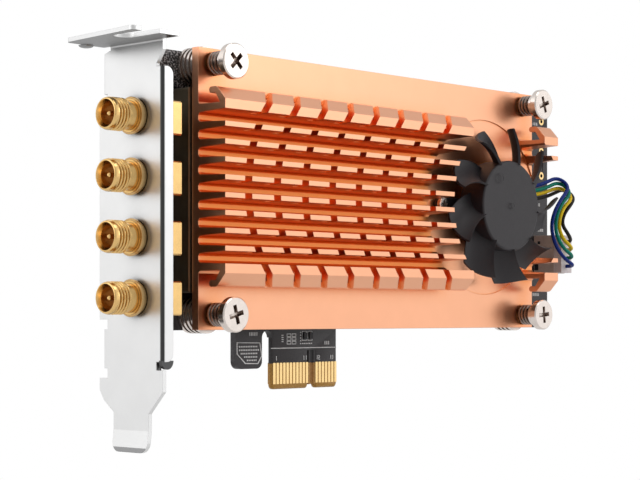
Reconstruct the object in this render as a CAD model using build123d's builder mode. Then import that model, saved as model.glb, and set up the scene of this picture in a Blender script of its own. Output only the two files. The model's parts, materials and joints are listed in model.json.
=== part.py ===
from build123d import *
import os
from math import cos, radians, sin, sqrt, tan

# A low-profile wireless network card: a folded steel bracket with four antenna jacks, a circuit board with a
# one-lane edge connector, and a finned aluminium heatsink that carries a frameless fan.
# Origin: outer face of the bracket (X), component face of the board (Y), bottom of the edge connector (Z).
# +X runs along the board away from the bracket, -Y is the component side, +Z points away from the connector.
# Heights above the board are measured along -Y.

os.makedirs("parts", exist_ok=True)

# Circuit board
board_thickness = 1.57
board_start = 3.6
board_length = 138.6
board_top = 68.9
board_base = 12.7
board_corner = 0.8
foot_width = 9.4
foot_bottom = 4.5
tab_width = 7.7
tab_corner = 1.3
tab_gap = 3.0

# Edge connector
contact_pitch = 1.0
contacts_before_key = 11
contacts_after_key = 7
first_contact = 44.9
contact_margin = 0.65
key_width = 1.9
key_top = 8.2
contact_width = 0.7
contact_bottom = 1.1
contact_top = 5.6
contact_thickness = 0.06
edge_corner = 0.9
edge_bevel = 0.45

test_point_margin = 2.5
test_point_z = (50.6, 56.7, 64.2)
test_point_hole = 0.9

# Bracket
sheet = 0.86
bracket_height = 79.2
bracket_top = 68.66
bracket_width = 18.42
tongue_width = 10.19
tongue_offset = 4.05
tongue_kick = 7.0
tongue_bend = 4.2
tongue_taper = (7.54, 9.74, 11.74)
bend_radius = 0.35
outer_bend = 0.75
side_flange = 2.65
side_flange_top = 62.8
side_flange_bottom = 6.9
tab_reach = 9.0
upper_tab = (58.7, 66.4)
lower_tab = (5.4, 13.0)
top_flange_reach = 11.43
top_flange_back_reach = 9.4
top_flange_corner = 1.0
top_flange_width = 21.59
top_flange_back = 2.0
notch_radius = 2.21
notch_axis = -7.0
notch_depth = 9.4
relief_depth = 1.4
relief_height = 1.9
face_relief = 1.8
face_relief_height = 1.6
face_corner = 2.76

# Antenna jacks
jack_count = 4
jack_pitch = 11.6
jack_lowest = 19.0
jack_height = 7.4
jack_thread = 6.35
jack_nose_step = 0.475
jack_bore = 4.6
jack_reach = 7.5
jack_bore_depth = 5.2
jack_block_margin = 0.25
jack_block_length = 7.9
jack_hole_clearance = 0.125
jack_nut_rim = 0.475
jack_nut_height = 1.65
jack_neck_step = 0.425
jack_thread_start = 4.0
jack_thread_end = 6.9
jack_front_wall = 0.5
jack_back_wall = 3.5
jack_pin = 0.94
jack_foot = 0.5
jack_lift = 0.8
jack_foot_inset = 0.75
fit_gap = 0.03

# Heatsink
sink_start = 16.8
sink_length = 110.0
sink_bottom = 12.8
sink_height = 56.2
plate_gap = 4.9
plate_thickness = 1.8
fin_count = 10
fin_pitch = 3.49
fin_centre = 41.06
fin_height = 7.75
fin_root = 1.7
fin_tip = 1.0
root_bevel = 0.45
slot_count = 8
slot_first = 22.15
slot_pitch = 8.13
slot_width = 2.0
slot_depth = 3.1
slot_radius = 28.0
slot_half_length = 21.9
pocket_radius = 20.5
pocket_recess = 0.3
pocket_centre = 108.05
pocket_side = 13.4
side_opening = 10.4

# Hooked outer fins, measured from the fin's own centre line
hook_reach = 4.0
hook_tail = 4.6
hook_thickness = 1.3
hook_tip = 1.4
hook_start = 1.45
hook_bend = 2.4
hook_bend_inner = 2.75
hook_bend_radius = 1.3

# Spring screws and the standoffs below them
screw_margin_x = 4.1
screw_margin_z = 3.05
screw_head = 7.1
screw_head_height = 1.5
screw_shoulder = 5.0
screw_shoulder_height = 1.5
screw_shank = 3.0
screw_hole = 3.4
screw_top = 13.4
recess_width = 0.95
recess_span = 3.9
recess_depth = 1.0
spring_diameter = 4.9
spring_wire = 0.62
spring_turns = 3.5
standoff_diameter = 7.6
standoff_groove = 0.45
standoff_bore = 3.1

# Fan
fan_top = 14.8
hub_diameter = 21.0
hub_depth = 6.2
hub_wall = 0.9
hub_edge = 0.45
blade_count = 9
blade_radius = 18.0
blade_thickness = 0.6
blade_front = 14.8
blade_back = 10.3
blade_camber = 0.12
blade_first = 59.0
blade_root = (8.8, 42.0, 0.0)
blade_middle = (14.15, 37.0, 10.6)
blade_tip = (blade_radius, 33.0, 20.35)
base_thickness = 1.0
base_radius = 8.6
arm_radius = 16.6
arm_width = 3.2
fan_screw_head = 3.0
fan_screw_head_height = 1.0
fan_screw_shank = 1.6
fan_screw_length = 1.4
magnet_wall = 1.2
magnet_length = 3.6
shaft_radius = 1.0
bearing_wall = 1.3
bearing_gap = 0.03
stator_radius = 7.6
stator_length = 2.2
coil_radius = 6.4
coil_length = 3.6

# Fan plug
header_x = 136.7
header_depth = 4.5
header_bottom = 26.1
header_width = 9.4
header_height = 6.0
header_wall = 0.5
plug_height = 8.2
pin_pitch = 2.0
pin_count = 4
pin_size = 0.5
wire_diameter = 0.8
wire_step = 0.9
wire_exit_reach = 10.4
wire_exit_z = 46.3
wire_exit_run = 3.2
plug_rise = 1.8
header_floor = 1.2
pin_tail = 0.8
pin_short = 1.0
plug_gap = 0.06
plug_rim = 0.1

# Radio shield, chips and small components
shield_x = 16.2
shield_length = 42.0
shield_bottom = 20.2
shield_width = 41.0
shield_height = 4.5
shield_wall = 0.2
shield_corner = 0.6
shield_pad_margin = 3.0
radio_chip = 12.0
radio_pad = 11.0
radio_chip_gap = 6.9
chip_height = 1.0
switch_size = 17.0
switch_height = 1.6
switch_x = 76.0
switch_pad_margin = 0.75
chip_chamfer = 0.2
inductor_size = 6.4
inductor_height = 3.0
inductor_corner = 0.8
inductor_places = ((94, 27), (94, 36), (103, 27))
capacitor_size = (3.2, 1.6)
capacitor_height = 1.6
capacitor_places = ((112, 22), (112, 29), (112, 36), (131.5, 39), (131.5, 60.5), (64, 20), (64, 24))
regulator_size = (6.0, 5.0)
regulator_height = 1.1
regulator_place = (104, 50)
crystal_size = (5.0, 3.2)
crystal_height = 0.9
crystal_place = (92, 52)
memory_size = (5.2, 3.9)
memory_height = 1.5
memory_place = (116, 51)

# Screws in the bracket's tabs
tab_screw_margin = 3.2
tab_screw_head = 5.4
tab_screw_head_height = 1.6
tab_screw_shank = 3.0
tab_screw_end = 1.2
tab_recess_span = 2.8
tab_recess_width = 0.7
tab_recess_depth = 0.9

# Worked-out places shared by the parts
board_end = board_start + board_length
tab_screw_z = [(low + high) / 2 for low, high in (lower_tab, upper_tab)]
tab_screw_x = board_start + tab_screw_margin
bracket_back = board_thickness + sheet + 0.97
bracket_front = bracket_back - bracket_width
key_centre = first_contact + (contacts_before_key - 1) * contact_pitch + 1.5 * contact_pitch
edge_start = first_contact - contact_margin
edge_end = key_centre + (contacts_after_key + 0.5) * contact_pitch + contact_margin
tab_end = edge_start - tab_gap
tab_start = tab_end - tab_width
jack_z = [jack_lowest + i * jack_pitch for i in range(jack_count)]
block_end = sheet + jack_block_length
jack_block = jack_thread + jack_block_margin
jack_nut_diameter = jack_thread + 2 * jack_nut_rim
jack_nose = jack_thread - 2 * jack_nose_step
jack_neck = jack_thread - 2 * jack_neck_step
sink_end = sink_start + sink_length
sink_top = sink_bottom + sink_height
plate_face = plate_gap + plate_thickness
fin_face = plate_face + fin_height
fin_z = [fin_centre + (i - (fin_count - 1) / 2) * fin_pitch for i in range(fin_count)]
screw_places = [
    (x, z)
    for x in (sink_start + screw_margin_x, sink_end - screw_margin_x)
    for z in (sink_bottom + screw_margin_z, sink_top - screw_margin_z)
]
fan_seat = plate_face - pocket_recess
arm_places = [
    (pocket_centre + arm_radius * cos(radians(a)), fin_centre + arm_radius * sin(radians(a)))
    for a in (180, 0)
]
hub_radius = hub_diameter / 2
hub_back = fan_top - hub_depth
wire_exit_x = pocket_centre + wire_exit_reach
wire_exit_height = fan_seat + base_thickness / 2
wire_z = [header_bottom + header_width / 2 + (i - (pin_count - 1) / 2) * pin_pitch for i in range(pin_count)]
header_centre = header_x + header_depth / 2
shield_middle = shield_bottom + shield_width / 2
radio_places = [
    (shield_x + shield_length / 2, shield_middle + side * (radio_chip + radio_chip_gap) / 2) for side in (-1, 1)
]


def above(height):
    """A plane parallel to the board, at this height above its component face."""
    return Plane.XZ.offset(height)


def across(x):
    """A plane square to the board's length, with sketch x along +Y and sketch y along +Z."""
    return Plane.YZ.offset(x)


def save(builder, name):
    """Label a finished piece and write it."""
    builder.part.label = name
    export_step(builder.part, f"parts/{name}.step")


# Bracket: one folded sheet with a screw flange, a stiffening edge, two board tabs and a tongue
def bracket_outline():
    """The flat face, from the tongue up its solder-side edge and down the other, as (y, z) points."""
    front = bracket_front
    back = bracket_back
    tongue_front = front + tongue_offset
    tongue_back = tongue_front + tongue_width
    tab_face = board_thickness + sheet
    bottom = bracket_top - bracket_height
    return [
        (tongue_front, bottom + tongue_bend),
        (tongue_back, bottom + tongue_bend),
        (tongue_back, bottom + tongue_taper[0]),
        (tab_face - bend_radius, bottom + tongue_taper[1]),
        (back, bottom + tongue_taper[2]),
        (back, lower_tab[0] - relief_height),
        (tab_face - relief_depth, lower_tab[0] - relief_height),
        (tab_face - relief_depth, lower_tab[0]),
        (tab_face, lower_tab[0]),
        (tab_face, lower_tab[1]),
        (tab_face - relief_depth, lower_tab[1]),
        (tab_face - relief_depth, lower_tab[1] + relief_height),
        (back, lower_tab[1] + relief_height),
        (back, upper_tab[0] - relief_height),
        (tab_face - relief_depth, upper_tab[0] - relief_height),
        (tab_face - relief_depth, upper_tab[0]),
        (tab_face, upper_tab[0]),
        (tab_face, upper_tab[1]),
        (0.1, upper_tab[1] + 0.7),
        (0.1, bracket_top - sheet),
        (front, bracket_top - sheet),
        (front, bracket_top - face_corner),
        (front + face_relief, side_flange_top + face_relief / 3),
        (front + face_relief, side_flange_top),
        (front, side_flange_top),
        (front, side_flange_bottom),
        (front + face_relief, side_flange_bottom),
        (front + face_relief, side_flange_bottom - face_relief_height),
        (front, side_flange_bottom - face_relief_height),
        (front, bottom + tongue_taper[2]),
        (tongue_front, bottom + tongue_taper[0]),
    ]


with BuildPart() as bracket:
    # Flat face
    with BuildSketch(across(0)):
        with BuildLine():
            Polyline(*bracket_outline(), close=True)
        make_face()
        with Locations(*[(-jack_height, z) for z in jack_z]):
            Circle(jack_thread / 2 + jack_hole_clearance, mode=Mode.SUBTRACT)
    extrude(amount=sheet)
    # Screw flange, bent outward at the top
    with BuildSketch(Plane.XY.offset(bracket_top - sheet)) as flange:
        with BuildLine():
            Polyline(
                (sheet, top_flange_back),
                (-top_flange_back_reach, top_flange_back),
                (-top_flange_reach, top_flange_back - top_flange_width),
                (sheet, top_flange_back - top_flange_width),
                close=True,
            )
        make_face()
        with Locations((0, 0.1)):
            Rectangle(sheet, top_flange_back, align=(Align.MIN, Align.MIN), mode=Mode.SUBTRACT)
        with Locations((0, bracket_front)):
            Rectangle(sheet, top_flange_width, align=(Align.MIN, Align.MAX), mode=Mode.SUBTRACT)
        fillet(flange.vertices().filter_by_position(Axis.X, -20, -5), top_flange_corner)
        notch_end = top_flange_back - top_flange_width + notch_depth
        with Locations((notch_axis, notch_end - notch_radius)):
            Circle(notch_radius, mode=Mode.SUBTRACT)
            Rectangle(2 * notch_radius, notch_depth, align=(Align.CENTER, Align.MAX), mode=Mode.SUBTRACT)
    extrude(amount=sheet)
    # Stiffening edge, bent back along the component side
    with BuildSketch(Plane.XZ.offset(-bracket_front - sheet)) as side_edge:
        with Locations((0, (side_flange_top + side_flange_bottom) / 2)):
            Rectangle(side_flange, side_flange_top - side_flange_bottom, align=(Align.MIN, Align.CENTER))
        fillet(side_edge.vertices().filter_by_position(Axis.X, 1, 9), 1.5)
    extrude(amount=sheet)
    # Board tabs, bent back onto the solder side of the board
    with BuildSketch(Plane.XZ.offset(-board_thickness - sheet)) as tabs:
        for low, high in (lower_tab, upper_tab):
            with Locations((0, (low + high) / 2)):
                Rectangle(tab_reach, high - low, align=(Align.MIN, Align.CENTER))
        fillet(tabs.vertices().filter_by_position(Axis.X, 5, 20), 1.5)
        with Locations(*[(tab_screw_x, z) for z in tab_screw_z]):
            Circle(screw_hole / 2, mode=Mode.SUBTRACT)
    extrude(amount=sheet)
    # Tongue tip, kicked out a little where it enters its slot
    tongue_low = bracket_top - bracket_height
    kick = tongue_bend * tan(radians(tongue_kick))
    with BuildSketch(Plane.XZ.offset(-bracket_front - tongue_offset)):
        with BuildLine():
            Polyline(
                (0, tongue_low + tongue_bend),
                (sheet, tongue_low + tongue_bend),
                (sheet - kick, tongue_low),
                (-kick, tongue_low),
                close=True,
            )
        make_face()
    extrude(amount=-tongue_width)
    tip_corners = bracket.edges().filter_by(Axis.X).filter_by_position(Axis.Z, tongue_low - 0.01, tongue_low + 0.01)
    fillet(tip_corners, 2.0)
    # Bend radii: the outer edge of each fold, then the inner one
    folds = [
        (Axis.Y, Axis.X, sheet, Axis.Z, bracket_top, outer_bend),
        (Axis.Z, Axis.X, 0, Axis.Y, bracket_front, outer_bend),
        (Axis.Z, Axis.X, 0, Axis.Y, board_thickness + sheet, outer_bend),
        (Axis.Y, Axis.X, 0, Axis.Z, bracket_top - sheet, bend_radius),
        (Axis.Z, Axis.X, sheet, Axis.Y, bracket_front + sheet, bend_radius),
        (Axis.Z, Axis.X, sheet, Axis.Y, board_thickness, bend_radius),
    ]
    for along, first, first_at, second, second_at, radius in folds:
        corner = (
            bracket.edges()
            .filter_by(along)
            .filter_by_position(first, first_at - 0.01, first_at + 0.01)
            .filter_by_position(second, second_at - 0.01, second_at + 0.01)
            .filter_by(lambda e: e.length > 5)
        )
        fillet(corner, radius)
save(bracket, "bracket")


# Circuit board
with BuildPart() as board:
    with BuildSketch(above(-board_thickness)) as outline:
        with Locations((board_start, board_base)):
            Rectangle(board_length, board_top - board_base, align=(Align.MIN, Align.MIN))
        with Locations((board_start, foot_bottom)):
            Rectangle(foot_width, board_base - foot_bottom, align=(Align.MIN, Align.MIN))
        with Locations((tab_start, foot_bottom)):
            Rectangle(tab_width, board_base - foot_bottom, align=(Align.MIN, Align.MIN))
        with Locations((edge_start, 0)):
            Rectangle(edge_end - edge_start, board_base, align=(Align.MIN, Align.MIN))
        with Locations((key_centre, 0)):
            Rectangle(key_width, key_top, align=(Align.CENTER, Align.MIN), mode=Mode.SUBTRACT)
        corners = outline.vertices()
        fillet(corners.filter_by_position(Axis.Y, -0.1, 0.1), edge_corner)
        fillet(corners.filter_by_position(Axis.Y, foot_bottom - 0.1, foot_bottom + 0.1), tab_corner)
        inner = corners.filter_by_position(Axis.Y, board_base - 0.1, board_base + 0.1)
        fillet(inner.filter_by_position(Axis.X, board_start + 1, board_end - 1), 1.3)
        fillet(corners.filter_by_position(Axis.Y, board_top - 0.1, board_top + 0.1), board_corner)
    extrude(amount=board_thickness)
    bevel = board.edges().filter_by(Axis.X).filter_by_position(Axis.Z, -0.1, 0.1)
    chamfer(bevel, edge_bevel)
    # Holes for the heatsink standoffs, the bracket screws, the jack feet and the test points
    with BuildSketch(above(0)):
        with Locations(*screw_places):
            Circle(screw_hole / 2)
        with Locations(*[(tab_screw_x, z) for z in tab_screw_z]):
            Circle(screw_hole / 2)
        with Locations(*[
            (x, z + side * (jack_block / 2 - jack_foot_inset))
            for x in (board_start + 1.2, block_end - jack_foot_inset)
            for z in jack_z
            for side in (-1, 1)
        ]):
            Rectangle(2 * jack_foot + 0.2, 2 * jack_foot + 0.2)
        with Locations(*[(header_centre, z) for z in wire_z]):
            Rectangle(pin_size + 0.3, pin_size + 0.3)
        with Locations(*[(board_end - test_point_margin, z) for z in test_point_z]):
            Circle(test_point_hole / 2)
    extrude(amount=-board_thickness, mode=Mode.SUBTRACT)
save(board, "circuit_board")


# Edge contacts, one gold strip for each position, on both faces of the board
def edge_contacts(face_height, direction):
    """The contacts on one face: face_height is the board face, direction is the side they stand on."""
    before = [first_contact + i * contact_pitch for i in range(contacts_before_key)]
    after = [key_centre + (i + 1.5) * contact_pitch for i in range(contacts_after_key)]
    with BuildPart() as contacts:
        with BuildSketch(above(face_height)):
            with Locations(*[(x, (contact_top + contact_bottom) / 2) for x in before + after]):
                Rectangle(contact_width, contact_top - contact_bottom)
        extrude(amount=direction * contact_thickness)
    return contacts


save(edge_contacts(0, 1), "edge_contacts_front")
save(edge_contacts(-board_thickness, -1), "edge_contacts_back")


# Antenna jacks: block, feet and a hollow threaded barrel turned as one piece
def antenna_jack(z):
    """One jack with its barrel along -X at this height."""
    with BuildPart() as jack:
        axis_plane = Plane(origin=(0, -jack_height, z), x_dir=(0, 1, 0), z_dir=(-1, 0, 0))
        # Block behind the bracket, standing over the board
        with BuildSketch(axis_plane.offset(-sheet)):
            with Locations((-jack_block / 2, 0)):
                Rectangle(
                    jack_height + jack_block / 2 - jack_lift, jack_block, align=(Align.MIN, Align.CENTER)
                )
        extrude(amount=-jack_block_length)
        chamfer(jack.edges().filter_by(Axis.X), 0.3)
        # Barrel through the bracket, with a neck behind the threaded length and a reduced nose
        with BuildSketch(axis_plane.offset(-sheet - jack_front_wall)):
            Circle(jack_thread / 2)
        extrude(amount=jack_reach + sheet + jack_front_wall)
        with BuildSketch(axis_plane.offset(jack_nut_height)):
            Circle(jack_thread / 2 + 1)
            Circle(jack_neck / 2, mode=Mode.SUBTRACT)
        extrude(amount=jack_thread_start - jack_nut_height, mode=Mode.SUBTRACT)
        nose = jack.faces().sort_by(Axis.X)[0].outer_wire().edges()
        chamfer(nose, length=jack_reach - jack_thread_end, length2=(jack_thread - jack_nose) / 2)
        # Bore for the insulator and the open mouth
        with BuildSketch(axis_plane.offset(jack_reach)):
            Circle(jack_bore / 2)
        extrude(amount=-jack_reach - sheet - jack_back_wall, mode=Mode.SUBTRACT)
        # Feet through the board
        with BuildSketch(above(jack_lift + 0.5)):
            with Locations(*[
                (x, z + side * (jack_block / 2 - jack_foot_inset))
                for x in (board_start + 1.2, block_end - jack_foot_inset)
                for side in (-1, 1)
            ]):
                Rectangle(2 * jack_foot, 2 * jack_foot)
        extrude(amount=-(jack_lift + 0.5 + board_thickness + 0.6))
    return jack


for number, z in enumerate(reversed(jack_z), start=1):
    save(antenna_jack(z), f"antenna_jack_{number}")

barrel_axes = [Plane(origin=(0, -jack_height, z), x_dir=(0, 1, 0), z_dir=(-1, 0, 0)) for z in jack_z]

with BuildPart() as insulators:
    for axis_plane in barrel_axes:
        with BuildSketch(axis_plane.offset(jack_reach - jack_bore_depth)):
            Circle(jack_bore / 2 - fit_gap)
            Circle(jack_pin / 2 + fit_gap, mode=Mode.SUBTRACT)
        extrude(amount=-(jack_reach - jack_bore_depth + sheet + jack_back_wall - fit_gap))
save(insulators, "jack_insulators")

with BuildPart() as pins:
    for axis_plane in barrel_axes:
        with BuildSketch(axis_plane.offset(-sheet - 3.0)):
            Circle(jack_pin / 2)
        extrude(amount=jack_reach - 0.5 + sheet + 3.0)
    chamfer(pins.faces().group_by(Axis.X)[0].edges(), jack_pin / 4)
save(pins, "jack_pins")

with BuildPart() as nuts:
    for axis_plane in barrel_axes:
        with BuildSketch(axis_plane):
            Circle(jack_nut_diameter / 2)
            Circle(jack_thread / 2 + fit_gap, mode=Mode.SUBTRACT)
        extrude(amount=jack_nut_height)
    rims = nuts.faces().group_by(Axis.X)[0].edges().filter_by(lambda e: e.radius > jack_thread / 2 + 0.2)
    chamfer(rims, 0.3)
save(nuts, "jack_nuts")


# Heatsink: one extruded section, then the arc slots, the fan pocket and the holes
def hooked_fin(z, side):
    """Section of an outer fin whose tip turns outward and back; side is +1 at the top and -1 at the bottom."""
    root = fin_root / 2
    inner = fin_face - hook_start
    return [
        (-plate_face + 0.2, z - side * root),
        (-plate_face + 0.2, z + side * root),
        (-inner, z + side * (root - 0.1)),
        (-(fin_face - hook_bend_inner), z + side * (hook_reach - hook_thickness)),
        (-(fin_face - hook_tail), z + side * (hook_reach - hook_thickness)),
        (-(fin_face - hook_tail), z + side * hook_reach),
        (-(fin_face - hook_bend), z + side * hook_reach),
        (-fin_face, z + side * hook_tip),
        (-fin_face, z - side * fin_tip / 2),
    ]


def straight_fin(z):
    """Section of a plain fin, thicker at its root."""
    return [
        (-plate_face + 0.2, z - fin_root / 2),
        (-plate_face + 0.2, z + fin_root / 2),
        (-plate_face, z + fin_root / 2),
        (-fin_face, z + fin_tip / 2),
        (-fin_face, z - fin_tip / 2),
        (-plate_face, z - fin_root / 2),
    ]


def arc_slot(x):
    """Outline of one cross slot: an arc that bulges to -X at mid height, moved along X by the slot's width."""
    bow = slot_radius - sqrt(slot_radius ** 2 - slot_half_length ** 2)
    ends = [
        (x + bow, fin_centre + slot_half_length),
        (x, fin_centre),
        (x + bow, fin_centre - slot_half_length),
    ]
    with BuildLine() as edge:
        first = ThreePointArc(*ends)
        second = ThreePointArc(*[(px + slot_width, pz) for px, pz in ends])
        Line(first @ 0, second @ 0)
        Line(first @ 1, second @ 1)
    return edge


with BuildPart() as heatsink:
    with BuildSketch(across(sink_start)) as section:
        with Locations((-plate_gap, sink_bottom)):
            Rectangle(plate_thickness, sink_height, align=(Align.MAX, Align.MIN))
        for z in fin_z[1:-1]:
            with BuildLine():
                Polyline(*straight_fin(z), close=True)
            make_face()
        for z, side in ((fin_z[-1], 1), (fin_z[0], -1)):
            with BuildLine():
                Polyline(*hooked_fin(z, side), close=True)
            make_face()
        roots = section.vertices().filter_by_position(Axis.X, -plate_face - 0.01, -plate_face + 0.01)
        chamfer(roots.filter_by_position(Axis.Y, sink_bottom + 1, sink_top - 1), root_bevel)
        tails = section.vertices().filter_by_position(
            Axis.X, -(fin_face - hook_tail) - 0.01, -(fin_face - hook_tail) + 0.01
        )
        fillet(tails, hook_thickness / 2 - 0.05)
        turns = section.vertices().filter_by_position(
            Axis.X, -(fin_face - hook_bend) - 0.01, -(fin_face - hook_bend) + 0.01
        )
        fillet(turns, hook_bend_radius)
    extrude(amount=sink_length)
    # Cross slots through the fin tips
    with BuildSketch(above(fin_face + 1)):
        for i in range(slot_count):
            add(arc_slot(slot_first + i * slot_pitch))
            make_face()
    extrude(amount=-(slot_depth + 1), mode=Mode.SUBTRACT)
    # Round pocket for the fan, open towards the far end where its wires leave
    with BuildSketch(above(fin_face + 1)):
        with Locations((pocket_centre, fin_centre)):
            Circle(pocket_radius)
    extrude(amount=-(fin_height + pocket_recess + 1), mode=Mode.SUBTRACT)
    # Straight cut ends of the hooked fins on both sides of the pocket
    with BuildSketch(above(fin_face + 1)):
        for side in (-1, 1):
            with Locations((pocket_centre, fin_centre + side * (fin_z[-1] - fin_centre + hook_reach / 2))):
                Rectangle(2 * pocket_side, 2 * hook_reach - fin_root)
    extrude(amount=-(fin_height + 1), mode=Mode.SUBTRACT)
    with BuildSketch(above(fin_face + 1)):
        with Locations((pocket_centre, fin_centre)):
            Rectangle(sink_length, 2 * side_opening, align=(Align.MIN, Align.CENTER))
    extrude(amount=-(fin_height + 1), mode=Mode.SUBTRACT)
    # Screw holes
    with BuildSketch(above(plate_face + 1)):
        with Locations(*screw_places):
            Circle(screw_hole / 2)
        with Locations(*arm_places):
            Circle(fan_screw_shank / 2 + fit_gap)
    extrude(amount=-(plate_thickness + 1.5), mode=Mode.SUBTRACT)
save(heatsink, "heatsink")


# Standoffs on the board, under the spring screws
with BuildPart() as standoffs:
    with BuildSketch(above(0)):
        with Locations(*screw_places):
            Circle(standoff_diameter / 2)
            Circle(standoff_bore / 2, mode=Mode.SUBTRACT)
    extrude(amount=plate_gap)
    groove_count = 3
    groove_step = plate_gap / (groove_count + 1)
    for i in range(groove_count):
        with BuildSketch(above((i + 1) * groove_step - groove_step / 4)):
            with Locations(*screw_places):
                Circle(standoff_diameter / 2 + 1)
                Circle(standoff_diameter / 2 - standoff_groove, mode=Mode.SUBTRACT)
        extrude(amount=groove_step / 2, mode=Mode.SUBTRACT)
save(standoffs, "heatsink_standoffs")


# Spring screws with a cross recess, a shoulder over the spring and a shank into the standoff
with BuildPart() as screws:
    shoulder_low = screw_top - screw_head_height - screw_shoulder_height
    steps = [
        (screw_head, screw_top - screw_head_height, screw_head_height),
        (screw_shoulder, shoulder_low, screw_shoulder_height),
        (screw_shank, 0.5, shoulder_low - 0.5),
    ]
    for diameter, low, length in steps:
        with BuildSketch(above(low)):
            with Locations(*screw_places):
                Circle(diameter / 2)
        extrude(amount=length)
    head_rims = screws.faces().group_by(Axis.Y)[0].edges()
    chamfer(head_rims, 0.25)
    with BuildSketch(above(screw_top)):
        for (x, z), turn in zip(screw_places, (15, 45, 5, 20)):
            with Locations(Location((x, z), turn)):
                Rectangle(recess_span, recess_width)
                Rectangle(recess_width, recess_span)
    extrude(amount=-recess_depth, taper=12, mode=Mode.SUBTRACT)
save(screws, "spring_screws")


# Compression springs between the plate and the screws' shoulders
spring_low = plate_face + spring_wire / 2 + fit_gap
spring_high = shoulder_low - spring_wire / 2 - fit_gap
spring_radius = (spring_diameter - spring_wire) / 2

with BuildPart() as springs:
    for x, z in screw_places:
        with BuildLine():
            coil = Helix(
                pitch=(spring_high - spring_low) / spring_turns,
                height=spring_high - spring_low,
                radius=spring_radius,
                center=(x, -spring_low, z),
                direction=(0, -1, 0),
            )
        with BuildSketch(Plane(origin=coil @ 0, z_dir=coil % 0)):
            RegularPolygon(spring_wire / 2, 6)
        sweep(path=coil, is_frenet=True)
save(springs, "screw_springs")


# Fan base: a disc with two arms, screwed into the pocket floor
with BuildPart() as fan_base:
    with BuildSketch(above(fan_seat)):
        with Locations((pocket_centre, fin_centre)):
            Circle(base_radius)
            with PolarLocations(0, 2):
                with Locations((arm_radius / 2, 0)):
                    Rectangle(arm_radius, arm_width)
        with Locations((wire_exit_x, wire_exit_z - 1.5 * wire_step)):
            Rectangle(wire_exit_reach, 3 * wire_step + wire_diameter + 0.6, align=(Align.MAX, Align.CENTER))
        with Locations(*arm_places):
            Circle(arm_width / 2)
            Circle(fan_screw_shank / 2 + 0.1, mode=Mode.SUBTRACT)
    extrude(amount=base_thickness)
save(fan_base, "fan_base")

with BuildPart() as fan_screws:
    head_low = fan_seat + base_thickness
    with BuildSketch(above(head_low)):
        with Locations(*arm_places):
            Circle(fan_screw_head / 2)
    extrude(amount=fan_screw_head_height)
    chamfer(fan_screws.faces().group_by(Axis.Y)[0].edges(), 0.2)
    with BuildSketch(above(head_low)):
        with Locations(*arm_places):
            Circle(fan_screw_shank / 2)
    extrude(amount=-(base_thickness + fan_screw_length))
    with BuildSketch(above(head_low + fan_screw_head_height)):
        with Locations(*arm_places):
            Rectangle(1.7, 0.4)
            Rectangle(0.4, 1.7)
    extrude(amount=-0.4, mode=Mode.SUBTRACT)
save(fan_screws, "fan_screws")

# Fan bearing, stator and coil, fixed on the base
bearing_radius = shaft_radius + bearing_wall
bearing_top = fan_top - hub_wall - 0.6
base_top = fan_seat + base_thickness

with BuildPart() as bearing:
    with BuildSketch(above(base_top)):
        with Locations((pocket_centre, fin_centre)):
            Circle(bearing_radius)
    extrude(amount=bearing_top - base_top)
    with BuildSketch(above(base_top + 0.8)):
        with Locations((pocket_centre, fin_centre)):
            Circle(shaft_radius + bearing_gap)
    extrude(amount=bearing_top - base_top - 0.8, mode=Mode.SUBTRACT)
save(bearing, "fan_bearing")

coil_low = base_top + 0.7
with BuildPart() as stator:
    with BuildSketch(above(coil_low + (coil_length - stator_length) / 2)):
        with Locations((pocket_centre, fin_centre)):
            Circle(stator_radius)
            Circle(coil_radius, mode=Mode.SUBTRACT)
            with PolarLocations(stator_radius, 4, start_angle=45):
                Rectangle(2.6, 1.0, mode=Mode.SUBTRACT)
    extrude(amount=stator_length)
    with BuildSketch(above(coil_low)):
        with Locations((pocket_centre, fin_centre)):
            Circle(coil_radius)
            Circle(bearing_radius + fit_gap, mode=Mode.SUBTRACT)
    extrude(amount=coil_length)
save(stator, "fan_stator")

# Rotor: a cup with the blades round it, turning about the shaft
magnet_outer = hub_radius - hub_wall - fit_gap
magnet_inner = magnet_outer - magnet_wall


def blade_section(radius, pitch_angle, lead):
    """Plane and chord of one blade section, square to the radius at this distance from the axis."""
    chord = (blade_front - blade_back) / sin(radians(pitch_angle))
    turn = radians(blade_first + lead)
    outward = Vector(cos(turn), 0, sin(turn))
    around = Vector(sin(turn), 0, -cos(turn))
    along = around * cos(radians(pitch_angle)) + Vector(0, 1, 0) * sin(radians(pitch_angle))
    middle = Vector(pocket_centre, -(blade_front + blade_back) / 2, fin_centre) + outward * radius
    return Plane(origin=middle, x_dir=along, z_dir=outward), chord


with BuildPart() as rotor:
    with BuildSketch(above(hub_back)):
        with Locations((pocket_centre, fin_centre)):
            Circle(hub_radius)
    extrude(amount=hub_depth)
    fillet(rotor.faces().sort_by(Axis.Y)[0].edges(), hub_edge)
    with BuildSketch(above(hub_back)):
        with Locations((pocket_centre, fin_centre)):
            Circle(hub_radius - hub_wall)
    extrude(amount=hub_depth - hub_wall, mode=Mode.SUBTRACT)
    with BuildSketch(above(fan_top - hub_wall)):
        with Locations((pocket_centre, fin_centre)):
            Circle(shaft_radius + 0.8)
            Circle(shaft_radius + fit_gap, mode=Mode.SUBTRACT)
    extrude(amount=-0.5)

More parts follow.
